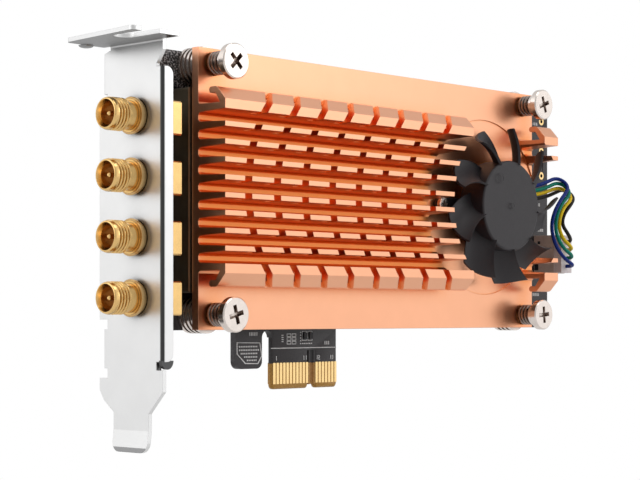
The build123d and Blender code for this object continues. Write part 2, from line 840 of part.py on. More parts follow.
with BuildPart() as blade:
    for radius, pitch_angle, lead in (blade_root, blade_middle, blade_tip):
        section_plane, chord = blade_section(radius, pitch_angle, lead)
        with BuildSketch(section_plane):
            with BuildLine():
                bulge = chord * blade_camber
                upper = ThreePointArc((-chord / 2, 0), (0, bulge + blade_thickness / 2), (chord / 2, 0))
                lower = ThreePointArc((-chord / 2, -blade_thickness), (0, bulge - blade_thickness / 2),
                                      (chord / 2, -blade_thickness))
                Line(upper @ 0, lower @ 0)
                Line(upper @ 1, lower @ 1)
            make_face()
    loft()
    with BuildSketch(above(blade_back - 1)):
        with Locations((pocket_centre, fin_centre)):
            Circle(blade_radius)
            Circle(hub_radius - hub_wall / 2, mode=Mode.SUBTRACT)
    extrude(amount=blade_front - blade_back + 2, mode=Mode.INTERSECT)

fan_axis = Axis((pocket_centre, 0, fin_centre), (0, 1, 0))
with BuildPart() as rotor_with_blades:
    add(rotor.part)
    for i in range(blade_count):
        add(blade.part.rotate(fan_axis, i * 360 / blade_count))
save(rotor_with_blades, "fan_rotor")

with BuildPart() as magnet:
    with BuildSketch(above(hub_back + 0.5)):
        with Locations((pocket_centre, fin_centre)):
            Circle(magnet_outer)
            Circle(magnet_inner, mode=Mode.SUBTRACT)
    extrude(amount=magnet_length)
save(magnet, "fan_magnet")

with BuildPart() as shaft:
    with BuildSketch(above(base_top + 1.0)):
        with Locations((pocket_centre, fin_centre)):
            Circle(shaft_radius)
    extrude(amount=fan_top - hub_wall - fit_gap - base_top - 1.0)
save(shaft, "fan_shaft")


# Fan connector: an open header on the board, its pins, and the plug in it
with BuildPart() as header:
    with BuildSketch(above(0)):
        with Locations((header_x, header_bottom)):
            Rectangle(header_depth, header_width, align=(Align.MIN, Align.MIN))
    extrude(amount=header_height)
    with BuildSketch(above(header_floor)):
        with Locations((header_x + header_wall, header_bottom + header_wall)):
            Rectangle(
                header_depth - 2 * header_wall, header_width - 2 * header_wall, align=(Align.MIN, Align.MIN)
            )
    extrude(amount=header_height - header_floor, mode=Mode.SUBTRACT)
    with BuildSketch(above(0)):
        with Locations(*[(header_centre, z) for z in wire_z]):
            Rectangle(pin_size + 2 * fit_gap, pin_size + 2 * fit_gap)
    extrude(amount=header_floor, mode=Mode.SUBTRACT)
save(header, "fan_header")

with BuildPart() as header_pins:
    with BuildSketch(above(-board_thickness - pin_tail)):
        with Locations(*[(header_centre, z) for z in wire_z]):
            Rectangle(pin_size, pin_size)
    extrude(amount=board_thickness + pin_tail + header_height - pin_short)
save(header_pins, "fan_header_pins")

with BuildPart() as plug:
    inset = header_wall + plug_gap
    with BuildSketch(above(header_floor + plug_gap)):
        with Locations((header_x + inset, header_bottom + inset)):
            Rectangle(header_depth - 2 * inset, header_width - 2 * inset, align=(Align.MIN, Align.MIN))
    extrude(amount=header_height - header_floor)
    with BuildSketch(above(header_height + plug_gap)):
        with Locations((header_x + plug_rim, header_bottom + plug_rim)):
            Rectangle(header_depth - 2 * plug_rim, header_width - 2 * plug_rim, align=(Align.MIN, Align.MIN))
    extrude(amount=plug_height - header_height - plug_gap)
    with BuildSketch(above(header_floor)):
        with Locations(*[(header_centre, z) for z in wire_z]):
            Rectangle(pin_size + 2 * fit_gap, pin_size + 2 * fit_gap)
    extrude(amount=header_height - header_floor + 0.2, mode=Mode.SUBTRACT)
save(plug, "fan_plug")


# Fan wires: one limp tube each, from the fan base round to the plug. Corner points as (x, height, z)
def wire_ends(order):
    """First and last corner points of one wire, square to the fan base and to the plug."""
    exit_z = wire_exit_z - order * wire_step
    first = [(wire_exit_x, wire_exit_height, exit_z), (wire_exit_x + wire_exit_run, wire_exit_height, exit_z)]
    last = [(header_centre, plug_height + plug_rise, wire_z[order]), (header_centre, plug_height, wire_z[order])]
    return first, last


wire_middles = {
    "fan_wire_blue": [
        (126.8, 8.1, 46.9), (130.4, 8.8, 48.2), (133.2, 9.3, 48.8), (135.0, 9.9, 48.8), (135.2, 11.1, 47.6),
        (133.7, 11.9, 46.1), (131.2, 12.1, 43.7), (128.9, 11.8, 40.6), (128.4, 11.3, 37.3),
        (129.7, 11.0, 34.1), (131.8, 11.0, 31.4), (134.6, 11.2, 29.2), (137.6, 11.1, 28.1),
    ],
    "fan_wire_green": [
        (127.2, 8.1, 45.8), (130.7, 8.8, 46.9), (134.0, 9.2, 47.7), (136.0, 9.7, 47.7), (136.5, 10.8, 46.6),
        (135.1, 11.5, 45.2), (132.9, 11.8, 42.9), (130.9, 11.6, 40.1), (130.5, 11.3, 37.1),
        (132.0, 11.1, 34.4), (134.4, 11.2, 32.2), (137.4, 11.1, 30.5),
    ],
    "fan_wire_yellow": [
        (127.5, 8.0, 44.9), (131.0, 8.5, 45.9), (134.8, 8.9, 46.6), (137.2, 9.3, 46.6), (137.8, 10.4, 45.6),
        (136.4, 11.2, 44.2), (134.4, 11.5, 42.0), (132.7, 11.4, 39.4), (132.7, 11.2, 36.6),
        (134.6, 11.1, 34.4), (137.4, 11.1, 32.6),
    ],
    "fan_wire_black": [
        (127.9, 7.9, 44.0), (131.6, 8.2, 44.8), (135.5, 8.3, 45.6), (138.2, 8.4, 45.8), (139.8, 9.4, 45.0),
        (139.0, 10.6, 43.6), (136.8, 11.1, 42.0), (134.9, 11.2, 39.6), (134.9, 11.0, 37.2), (137.3, 11.0, 35.0),
    ],
}


def arc_radii(points):
    """For each inner corner, 0.45 of its shorter run over the tangent of half its turn."""
    radii = []
    for before, here, after in zip(points, points[1:], points[2:]):
        turn = (here - before).get_angle(after - here)
        shorter = min((here - before).length, (after - here).length)
        radii.append(0.45 * shorter / tan(radians(turn / 2)))
    return radii


for order, (name, corners) in enumerate(wire_middles.items()):
    first, last = wire_ends(order)
    route = [Vector(x, -height, z) for x, height, z in first + corners + last]
    radii = arc_radii(route)
    with BuildPart() as wire:
        with BuildLine() as path:
            FilletPolyline(*route, radius=radii)
        middle = path.wires()[0]
        with BuildSketch(Plane(origin=middle @ 0, z_dir=middle % 0)):
            outline = RegularPolygon(wire_diameter / 2, 6)
        sweep(path=middle)
    save(wire, name)
    expected = outline.area * middle.length
    print(name, "length", round(middle.length, 2), "radii", [round(r, 2) for r in radii],
          "volume ratio", round(wire.part.volume / expected, 4))


# Radio shield with the chips below it, and the pad that couples it to the plate
with BuildPart() as shield:
    with BuildSketch(above(0)):
        with Locations((shield_x, shield_bottom)):
            Rectangle(shield_length, shield_width, align=(Align.MIN, Align.MIN))
    extrude(amount=shield_height)
    fillet(shield.edges().filter_by(Axis.Y), shield_corner)
    with BuildSketch(above(0)):
        with Locations((shield_x + shield_wall, shield_bottom + shield_wall)):
            Rectangle(
                shield_length - 2 * shield_wall, shield_width - 2 * shield_wall, align=(Align.MIN, Align.MIN)
            )
    extrude(amount=shield_height - shield_wall, mode=Mode.SUBTRACT)
save(shield, "radio_shield")

with BuildPart() as shield_pad:
    with BuildSketch(above(shield_height)):
        with Locations((shield_x + shield_pad_margin, shield_bottom + shield_pad_margin)):
            Rectangle(
                shield_length - 2 * shield_pad_margin, shield_width - 2 * shield_pad_margin,
                align=(Align.MIN, Align.MIN),
            )
    extrude(amount=plate_gap - shield_height)
save(shield_pad, "shield_pad")

with BuildPart() as radio_chips:
    with BuildSketch(above(0)):
        with Locations(*radio_places):
            Rectangle(radio_chip, radio_chip)
    extrude(amount=chip_height)
save(radio_chips, "radio_chips")

with BuildPart() as chip_pads:
    with BuildSketch(above(chip_height)):
        with Locations(*radio_places):
            Rectangle(radio_pad, radio_pad)
    extrude(amount=shield_height - shield_wall - chip_height)
save(chip_pads, "radio_chip_pads")

with BuildPart() as switch_chip:
    with BuildSketch(above(0)):
        with Locations((switch_x, fin_centre)):
            Rectangle(switch_size, switch_size)
    extrude(amount=switch_height)
    chamfer(switch_chip.faces().sort_by(Axis.Y)[0].edges(), chip_chamfer)
save(switch_chip, "switch_chip")

with BuildPart() as switch_pad:
    with BuildSketch(above(switch_height)):
        with Locations((switch_x, fin_centre)):
            Rectangle(switch_size - 2 * switch_pad_margin, switch_size - 2 * switch_pad_margin)
    extrude(amount=plate_gap - switch_height)
save(switch_pad, "switch_pad")


# Power parts and small components between the board and the plate
with BuildPart() as inductors:
    with BuildSketch(above(0)):
        with Locations(*inductor_places):
            Rectangle(inductor_size, inductor_size)
    extrude(amount=inductor_height)
    fillet(inductors.edges().filter_by(Axis.Y), inductor_corner)
save(inductors, "power_inductors")

with BuildPart() as capacitors:
    with BuildSketch(above(0)):
        with Locations(*capacitor_places):
            Rectangle(*capacitor_size)
    extrude(amount=capacitor_height)
save(capacitors, "capacitors")

with BuildPart() as regulator:
    with BuildSketch(above(0)):
        with Locations(regulator_place):
            Rectangle(*regulator_size)
    extrude(amount=regulator_height)
save(regulator, "power_regulator")

with BuildPart() as crystal:
    with BuildSketch(above(0)):
        with Locations(crystal_place):
            RectangleRounded(*crystal_size, shield_corner)
    extrude(amount=crystal_height)
save(crystal, "clock_crystal")

with BuildPart() as flash_chip:
    with BuildSketch(above(0)):
        with Locations(memory_place):
            Rectangle(*memory_size)
    extrude(amount=memory_height)
save(flash_chip, "memory_chip")


# Screws that hold the bracket's tabs to the board
with BuildPart() as tab_screws:
    with BuildSketch(above(-board_thickness - sheet)):
        with Locations(*[(tab_screw_x, z) for z in tab_screw_z]):
            Circle(tab_screw_head / 2)
    extrude(amount=-tab_screw_head_height)
    chamfer(tab_screws.faces().group_by(Axis.Y)[-1].edges(), 0.4)
    with BuildSketch(above(-board_thickness - sheet)):
        with Locations(*[(tab_screw_x, z) for z in tab_screw_z]):
            Circle(tab_screw_shank / 2)
    extrude(amount=board_thickness + sheet + tab_screw_end)
    with BuildSketch(above(-board_thickness - sheet - tab_screw_head_height)):
        with Locations(*[(tab_screw_x, z) for z in tab_screw_z]):
            Rectangle(tab_recess_span, tab_recess_width)
            Rectangle(tab_recess_width, tab_recess_span)
    extrude(amount=tab_recess_depth, mode=Mode.SUBTRACT)
save(tab_screws, "bracket_screws")
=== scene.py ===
import json
from math import cos, pi, radians, sin

import bmesh
import bpy
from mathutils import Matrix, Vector


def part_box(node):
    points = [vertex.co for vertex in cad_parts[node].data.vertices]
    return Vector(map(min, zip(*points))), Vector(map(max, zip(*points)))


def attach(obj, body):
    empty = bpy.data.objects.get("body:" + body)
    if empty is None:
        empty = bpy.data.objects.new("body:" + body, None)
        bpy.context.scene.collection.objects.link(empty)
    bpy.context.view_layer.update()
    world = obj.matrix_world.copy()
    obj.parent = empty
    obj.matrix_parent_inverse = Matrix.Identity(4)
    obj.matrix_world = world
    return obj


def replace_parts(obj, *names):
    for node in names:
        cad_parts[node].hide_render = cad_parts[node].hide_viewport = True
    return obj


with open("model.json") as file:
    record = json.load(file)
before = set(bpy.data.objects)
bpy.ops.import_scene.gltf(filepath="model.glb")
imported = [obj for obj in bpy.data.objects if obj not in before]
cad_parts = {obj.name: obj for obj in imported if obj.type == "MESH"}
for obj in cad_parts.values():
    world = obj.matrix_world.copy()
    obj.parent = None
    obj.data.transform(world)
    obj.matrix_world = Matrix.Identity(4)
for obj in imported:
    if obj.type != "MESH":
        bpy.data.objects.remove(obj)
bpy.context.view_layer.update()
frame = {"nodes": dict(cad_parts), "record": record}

MM = 0.001
scene = bpy.context.scene
nodes = frame["nodes"]
scene.view_settings.view_transform = "Standard"


# Camera, as fitted to the bracket and the edge connector in the photograph
FRAME_WIDTH = 640
FOCAL_PIXELS = 1801.6
HORIZON_BELOW_MIDDLE = 74.84
SENSOR = 36.0
VIEW_TURN = 46.64
CAMERA_PLACE = Vector((-226.25, -269.4, 15.81)) * MM

camera_data = bpy.data.cameras.new("camera")
camera_data.sensor_width = SENSOR
camera_data.lens = FOCAL_PIXELS * SENSOR / FRAME_WIDTH
camera_data.shift_y = HORIZON_BELOW_MIDDLE / FRAME_WIDTH
camera_data.clip_start = 0.01
camera_data.clip_end = 20
camera = bpy.data.objects.new("camera", camera_data)
camera.location = CAMERA_PLACE
camera.rotation_euler = (radians(90), 0, -radians(VIEW_TURN))
scene.collection.objects.link(camera)
scene.camera = camera


# Shader nodes that the room and the materials share
ALONG_X, ALONG_Y, ALONG_Z = (1 / MM, 0, 0), (0, 1 / MM, 0), (0, 0, 1 / MM)


def math_node(tree, operation, first, second=None):
    """One math node on sockets or numbers."""
    node = tree.nodes.new("ShaderNodeMath")
    node.operation = operation
    for socket, value in zip(node.inputs, (first, second)):
        if isinstance(value, (int, float)):
            socket.default_value = value
        elif value is not None:
            tree.links.new(value, socket)
    return node.outputs[0]


def product(tree, first, *others):
    """All the values multiplied, so a place is inside only where each limit is kept."""
    for other in others:
        first = math_node(tree, "MULTIPLY", first, other)
    return first


def dot(tree, vector, axis):
    """How far a vector points along an axis."""
    node = tree.nodes.new("ShaderNodeVectorMath")
    node.operation = "DOT_PRODUCT"
    tree.links.new(vector, node.inputs[0])
    node.inputs[1].default_value = axis
    return node.outputs["Value"]


def spread(tree, value, start, stop, low, high):
    """Goes smoothly from low to high as the value goes from start to stop."""
    node = tree.nodes.new("ShaderNodeMapRange")
    node.interpolation_type = "SMOOTHSTEP"
    for name, number in (("From Min", start), ("From Max", stop), ("To Min", low), ("To Max", high)):
        node.inputs[name].default_value = number
    tree.links.new(value, node.inputs["Value"])
    return node.outputs["Result"]


def noise(tree, coordinates, scale, detail):
    """A noise texture in object space, with scale in features per metre."""
    mapping = tree.nodes.new("ShaderNodeMapping")
    mapping.inputs["Scale"].default_value = [scale] * 3
    texture = tree.nodes.new("ShaderNodeTexNoise")
    texture.inputs["Scale"].default_value = 1.0
    texture.inputs["Detail"].default_value = detail
    tree.links.new(coordinates, mapping.inputs["Vector"])
    tree.links.new(mapping.outputs["Vector"], texture.inputs["Vector"])
    return texture.outputs["Fac"]


def ramp(tree, value, low, high, start=0.35, stop=0.65):
    """Colours or greys from low to high as the value goes from start to stop."""
    node = tree.nodes.new("ShaderNodeValToRGB")
    node.color_ramp.elements[0].position = start
    node.color_ramp.elements[1].position = stop
    for element, colour in zip(node.color_ramp.elements, (low, high)):
        element.color = (*colour, 1) if hasattr(colour, "__len__") else (colour, colour, colour, 1)
    tree.links.new(value, node.inputs["Fac"])
    return node.outputs["Color"]


def blend_colour(tree, share, first, second):
    """Mixes two colours, each a socket or linear RGB, with this share of the second."""
    node = tree.nodes.new("ShaderNodeMix")
    node.data_type = "RGBA"
    for socket, value in ((node.inputs[0], share), (node.inputs[6], first), (node.inputs[7], second)):
        if hasattr(value, "is_linked"):
            tree.links.new(value, socket)
        elif hasattr(value, "__len__"):
            socket.default_value = (*value, 1)
        else:
            socket.default_value = value
    return node.outputs[2]


# Light: soft boxes at the right, at the left and above, in a room that is brighter at its left and right walls
CARD_MIDDLE = (0.07, -0.01, 0.03)
SOFT_BOXES = (  # name, place, size and power
    ("right_box", (0.655, -0.72, 0.35), 0.36, 0.5),
    ("left_box", (-0.70, 0.30, 0.45), 0.60, 0.8),
    ("top_box", (0.05, -0.25, 0.80), 0.50, 1.3),
)
TO_LEFT_WALL = (-0.6865, 0.7271, 0.0)
WALL_FADE = (0.50, 0.95)
LEFT_WALL, RIGHT_WALL, CEILING, ROOM = 1.06, 0.98, 0.35, 0.15
CEILING_FADE = (0.1, 0.9)
LEFT_WALL_FOOT = 0.62
LEFT_WALL_FOOT_FADE = (-0.06, 0.12)
ROOM_COLOUR = (0.98, 0.98, 1.0, 1)
WHITE = (1, 1, 1, 1)
REFLECTED_WHITE = 0.5


def soft_box(name, place, size, power):
    """A square soft box at a place in metres, turned to the card."""
    data = bpy.data.lights.new(name, "AREA")
    data.shape = "SQUARE"
    data.size = size
    data.energy = power
    light = bpy.data.objects.new(name, data)
    light.location = place
    light.rotation_euler = (Vector(CARD_MIDDLE) - Vector(place)).to_track_quat("-Z", "Y").to_euler()
    scene.collection.objects.link(light)


def sees_white(tree):
    """How much of the white background a ray sees: all from the camera and through glass, a share in metal."""
    path = tree.nodes.new("ShaderNodeLightPath")
    reflected = math_node(tree, "MULTIPLY", path.outputs["Is Glossy Ray"], REFLECTED_WHITE)
    through = math_node(tree, "MAXIMUM", path.outputs["Is Camera Ray"], path.outputs["Is Transmission Ray"])
    return math_node(tree, "MAXIMUM", reflected, through)


def studio_world():
    """The room's light, mixed with the white background."""
    world = bpy.data.worlds.new("room")
    world.use_nodes = True
    tree = world.node_tree
    tree.nodes.clear()
    out = tree.nodes.new("ShaderNodeOutputWorld")
    mix = tree.nodes.new("ShaderNodeMixShader")
    direction = tree.nodes.new("ShaderNodeTexCoord").outputs["Generated"]
    leftward = dot(tree, direction, TO_LEFT_WALL)
    rightward = math_node(tree, "MULTIPLY", leftward, -1)
    height = dot(tree, direction, (0, 0, 1))
    left = product(tree, spread(tree, leftward, *WALL_FADE, 0.0, LEFT_WALL),
                   spread(tree, height, *LEFT_WALL_FOOT_FADE, LEFT_WALL_FOOT, 1.0))
    level = ROOM
    for light in (left, spread(tree, rightward, *WALL_FADE, 0.0, RIGHT_WALL),
                  spread(tree, height, *CEILING_FADE, 0.0, CEILING)):
        level = math_node(tree, "ADD", light, level)
    room = tree.nodes.new("ShaderNodeBackground")
    room.inputs["Color"].default_value = ROOM_COLOUR
    tree.links.new(level, room.inputs["Strength"])
    white = tree.nodes.new("ShaderNodeBackground")
    white.inputs["Color"].default_value = WHITE
    tree.links.new(sees_white(tree), mix.inputs[0])
    tree.links.new(room.outputs[0], mix.inputs[1])
    tree.links.new(white.outputs[0], mix.inputs[2])
    tree.links.new(mix.outputs[0], out.inputs[0])
    scene.world = world


for box in SOFT_BOXES:
    soft_box(*box)
studio_world()


# Materials: each is a Principled shader with colour variation, roughness variation and bump, and where a painted
# shade colour is given, painted shade in narrow places
CLOUD_DETAIL, GRAIN_DETAIL = 4.0, 2.0
LEAST_ROUGHNESS = 0.02
# Painted shade in narrow places: samples of its occlusion node, and the occlusion over which the colour turns to the
# shade
PAINTED_SHADE_SAMPLES, EDGE_SAMPLES = 6, 4
PAINTED_SHADE_FADE = (0.25, 0.95)


def finish(name, colour, metallic=0.0, roughness=0.4, vary=0.12, vary_scale=300, rough_vary=0.08,
           grain=4000, bump=0.15, depth=0.02, specular=0.5, edge=0.0, painted_shade_colour=None, painted_shade_reach=1.2):
    """One surface: colour is linear RGB, vary_scale and grain are features per metre.

    depth, edge and painted_shade_reach are millimetres. edge rounds the shading of corners, and painted_shade_colour
    is the painted shade that narrow places turn to.
    """
    material = bpy.data.materials.new(name)
    material.use_nodes = True
    tree = material.node_tree
    shader = tree.nodes["Principled BSDF"]
    shader.inputs["Metallic"].default_value = metallic
    shader.inputs["Specular IOR Level"].default_value = specular
    coordinates = tree.nodes.new("ShaderNodeTexCoord").outputs["Object"]
    cloud = noise(tree, coordinates, vary_scale, CLOUD_DETAIL)
    fine = noise(tree, coordinates, grain, GRAIN_DETAIL)
    dark = [c * (1 - vary) for c in colour]
    light = [min(1.0, c * (1 + vary)) for c in colour]
    paint = ramp(tree, cloud, dark, light)
    # Painted shade: the colour turns to the painted shade colour where the occlusion node finds narrow places
    if painted_shade_colour:
        shade = tree.nodes.new("ShaderNodeAmbientOcclusion")
        shade.samples = PAINTED_SHADE_SAMPLES
        shade.inputs["Distance"].default_value = painted_shade_reach * MM
        paint = blend_colour(tree, spread(tree, shade.outputs["AO"], *PAINTED_SHADE_FADE, 1.0, 0.0), paint, painted_shade_colour)
    tree.links.new(paint, shader.inputs["Base Color"])
    smoothest, roughest = max(LEAST_ROUGHNESS, roughness - rough_vary), min(1.0, roughness + rough_vary)
    tree.links.new(ramp(tree, fine, smoothest, roughest), shader.inputs["Roughness"])
    bumps = tree.nodes.new("ShaderNodeBump")
    bumps.inputs["Strength"].default_value = bump
    bumps.inputs["Distance"].default_value = depth * MM
    tree.links.new(fine, bumps.inputs["Height"])
    if edge:
        rounded = tree.nodes.new("ShaderNodeBevel")
        rounded.samples = EDGE_SAMPLES
        rounded.inputs["Radius"].default_value = edge * MM
        tree.links.new(rounded.outputs["Normal"], bumps.inputs["Normal"])
    tree.links.new(bumps.outputs["Normal"], shader.inputs["Normal"])
    return material


WIRE_LOOK = dict(roughness=0.45, vary=0.10, specular=0.2)
STEEL_LOOK = dict(metallic=0.92, roughness=0.34, vary=0.015, vary_scale=150, rough_vary=0.05, grain=6000, bump=0.15,
                  depth=0.006)
GOLD_LOOK = dict(metallic=1.0, vary=0.04, vary_scale=500, rough_vary=0.04, grain=6000, bump=0.08, depth=0.006,
                 edge=0.06, painted_shade_reach=0.5)
# Painted shade colours in narrow places: a painted contact shadow on the bracket, painted shade in the jacks,
# collars, screws and springs, and painted shade and reflection between the copper fins
LOOKS = {
    "bracket_steel": dict(STEEL_LOOK, colour=(0.85, 0.85, 0.84), edge=0.15, painted_shade_colour=(0.10, 0.10, 0.10),
                          painted_shade_reach=3.5),
    # The bracket's steel with a painted shade colour, for the turned-in end of its stiffening edge
    "bent_steel_painted_shade": dict(STEEL_LOOK, colour=(0.10, 0.10, 0.10)),
    "board_mask": dict(colour=(0.010, 0.009, 0.010), roughness=0.40, vary=0.3, vary_scale=900, rough_vary=0.1,
                       grain=3000, bump=0.3),
    "silk_print": dict(colour=(0.90, 0.90, 0.88), roughness=0.6, vary=0.1, vary_scale=2500),
    "contact_gold": dict(colour=(1.0, 0.70, 0.32), metallic=1.0, roughness=0.30, vary=0.04, vary_scale=400,
                         rough_vary=0.05, grain=5000, bump=0.1, depth=0.01),
    "jack_gold": dict(GOLD_LOOK, colour=(0.86, 0.56, 0.22), roughness=0.20, painted_shade_colour=(0.22, 0.10, 0.02)),
    "collar_gold": dict(GOLD_LOOK, colour=(0.60, 0.39, 0.17), roughness=0.24, painted_shade_colour=(0.18, 0.08, 0.02)),
    "insulator": dict(colour=(0.80, 0.60, 0.48), roughness=0.45, vary=0.08),
    "copper_anodised": dict(colour=(0.94, 0.47, 0.28), metallic=1.0, roughness=0.30, vary=0.012, vary_scale=200,
                            rough_vary=0.025, grain=6000, bump=0.05, depth=0.005, edge=0.14,
                            painted_shade_colour=(0.86, 0.27, 0.06), painted_shade_reach=5.0),
    "nickel": dict(colour=(0.80, 0.72, 0.66), metallic=1.0, roughness=0.22, vary=0.03, vary_scale=700,
                   rough_vary=0.03, grain=6000, bump=0.06, depth=0.006, edge=0.08, painted_shade_colour=(0.26, 0.20, 0.17),
                   painted_shade_reach=1.1),
    "spring_steel": dict(colour=(0.30, 0.235, 0.20), metallic=1.0, roughness=0.26, vary=0.05, vary_scale=500,
                         rough_vary=0.04, grain=6000, bump=0.05, depth=0.006, painted_shade_colour=(0.04, 0.03, 0.025),
                         painted_shade_reach=0.9),
    "fan_plastic": dict(colour=(0.020, 0.0155, 0.018), roughness=0.50, vary=0.06, vary_scale=500, rough_vary=0.05,
                        grain=7000, bump=0.25, depth=0.010, edge=0.12),
    "bearing_metal": dict(colour=(0.70, 0.50, 0.24), metallic=1.0),
    "stator_iron": dict(colour=(0.30, 0.13, 0.05), metallic=0.6, roughness=0.5),
    "magnet": dict(colour=(0.05, 0.045, 0.045), roughness=0.7),
    "shaft_steel": dict(colour=(0.7, 0.7, 0.7), metallic=1.0, roughness=0.15),
    "header_plastic": dict(colour=(0.74, 0.60, 0.53), roughness=0.5, vary=0.1),
    "plug_plastic": dict(colour=(0.95, 0.84, 0.82), roughness=0.45, vary=0.05),
    "pin_tin": dict(colour=(0.8, 0.7, 0.5), metallic=1.0, roughness=0.3),
    "wire_blue": dict(WIRE_LOOK, colour=(0.001, 0.022, 0.22)),
    "wire_green": dict(WIRE_LOOK, colour=(0.0, 0.25, 0.16)),
    "wire_yellow": dict(WIRE_LOOK, colour=(0.92, 0.62, 0.005), vary=0.08),
    "wire_black": dict(WIRE_LOOK, colour=(0.012, 0.008, 0.006)),
    "shield_can": dict(colour=(0.30, 0.26, 0.19), metallic=1.0, vary=0.1),
    "thermal_pad": dict(colour=(0.30, 0.32, 0.35), roughness=0.8, vary=0.1),
    "chip_plastic": dict(colour=(0.02, 0.02, 0.022), roughness=0.6, vary=0.15),
    "capacitor": dict(colour=(0.25, 0.15, 0.08), vary=0.15),
    "crystal_can": dict(colour=(0.6, 0.6, 0.58), metallic=1.0, roughness=0.3, vary=0.05),
}
FINISHES = {name: finish(name, **look) for name, look in LOOKS.items()}


# Board mask: coarse flecks at the top of the front by the bracket, fine ones elsewhere, and bare laminate along the
# lower edge of the edge connector
COARSE_BEFORE_X = 22.0
COARSE_ABOVE_Z = 55.0
COARSE_BEFORE_Y = 1.0
BARE_BELOW_Z = 5.45
BARE_AFTER_X = 42.5


def finish_board():
    """Gives the board's mask its flecks and its bare laminate."""
    tree = FINISHES["board_mask"].node_tree
    coordinates = tree.nodes.new("ShaderNodeTexCoord").outputs["Object"]
    x, y, z = (dot(tree, coordinates, axis) for axis in (ALONG_X, ALONG_Y, ALONG_Z))
    coarse = product(tree, math_node(tree, "LESS_THAN", x, COARSE_BEFORE_X),
                     math_node(tree, "GREATER_THAN", z, COARSE_ABOVE_Z),
                     math_node(tree, "LESS_THAN", y, COARSE_BEFORE_Y))
    plain = ramp(tree, noise(tree, coordinates, 5200, 2.0), (0.018, 0.013, 0.014), (0.060, 0.048, 0.050), 0.55, 0.75)
    grains = ramp(tree, noise(tree, coordinates, 2400, 1.0), (0.005, 0.004, 0.004), (0.42, 0.40, 0.40), 0.50, 0.62)
    laminate = ramp(tree, noise(tree, coordinates, 2600, 3.0), (0.50, 0.23, 0.030), (0.62, 0.33, 0.060))
    bare = product(tree, math_node(tree, "LESS_THAN", z, BARE_BELOW_Z),
                   math_node(tree, "GREATER_THAN", x, BARE_AFTER_X))
    flecks = blend_colour(tree, coarse, plain, grains)
    tree.links.new(blend_colour(tree, bare, flecks, laminate),
                   tree.nodes["Principled BSDF"].inputs["Base Color"])


# Bracket: a dark line of painted reflection in the bend at its stiffening edge, and painted shade on the lower face
# of its flange
BEND_FADE_Y = (-14.45, -14.15)
BEND_FADE_X = (0.42, 0.62)
BEND_BELOW_Z = 63.0
BEND_ABOVE_Z = 6.3
# Colour of the painted dark reflection in the bend
BEND_PAINTED_REFLECTION_COLOUR = (0.07, 0.07, 0.07)
FLANGE_BELOW_Z = 67.85
FLANGE_BEFORE_X = -0.4
# Colour of the painted shade under the flange
FLANGE_PAINTED_SHADE_COLOUR = (0.33, 0.33, 0.33)


def paint_bracket_reflection_and_shade():
    """Paints a dark reflection into the bracket's colour in its bend, and painted shade under its flange."""
    tree = FINISHES["bracket_steel"].node_tree
    shader = tree.nodes["Principled BSDF"]
    coordinates = tree.nodes.new("ShaderNodeTexCoord").outputs["Object"]
    x, y, z = (dot(tree, coordinates, axis) for axis in (ALONG_X, ALONG_Y, ALONG_Z))
    bend = product(tree, spread(tree, y, *BEND_FADE_Y, 1.0, 0.0), spread(tree, x, *BEND_FADE_X, 1.0, 0.0),
                   math_node(tree, "LESS_THAN", z, BEND_BELOW_Z), math_node(tree, "GREATER_THAN", z, BEND_ABOVE_Z))
    flange = product(tree, math_node(tree, "LESS_THAN", z, FLANGE_BELOW_Z),
                     math_node(tree, "LESS_THAN", x, FLANGE_BEFORE_X))
    plain = shader.inputs["Base Color"].links[0].from_socket
    # The painted reflection and the painted shade, blended into the base colour
    shade = blend_colour(tree, flange, blend_colour(tree, bend, plain, BEND_PAINTED_REFLECTION_COLOUR), FLANGE_PAINTED_SHADE_COLOUR)
    tree.links.new(shade, shader.inputs["Base Color"])


finish_board()
paint_bracket_reflection_and_shade()

for part in frame["record"]["subparts"]:
    node = nodes[part["node"]]
    node.data.materials.clear()
    node.data.materials.append(FINISHES[part["material_slot"]])


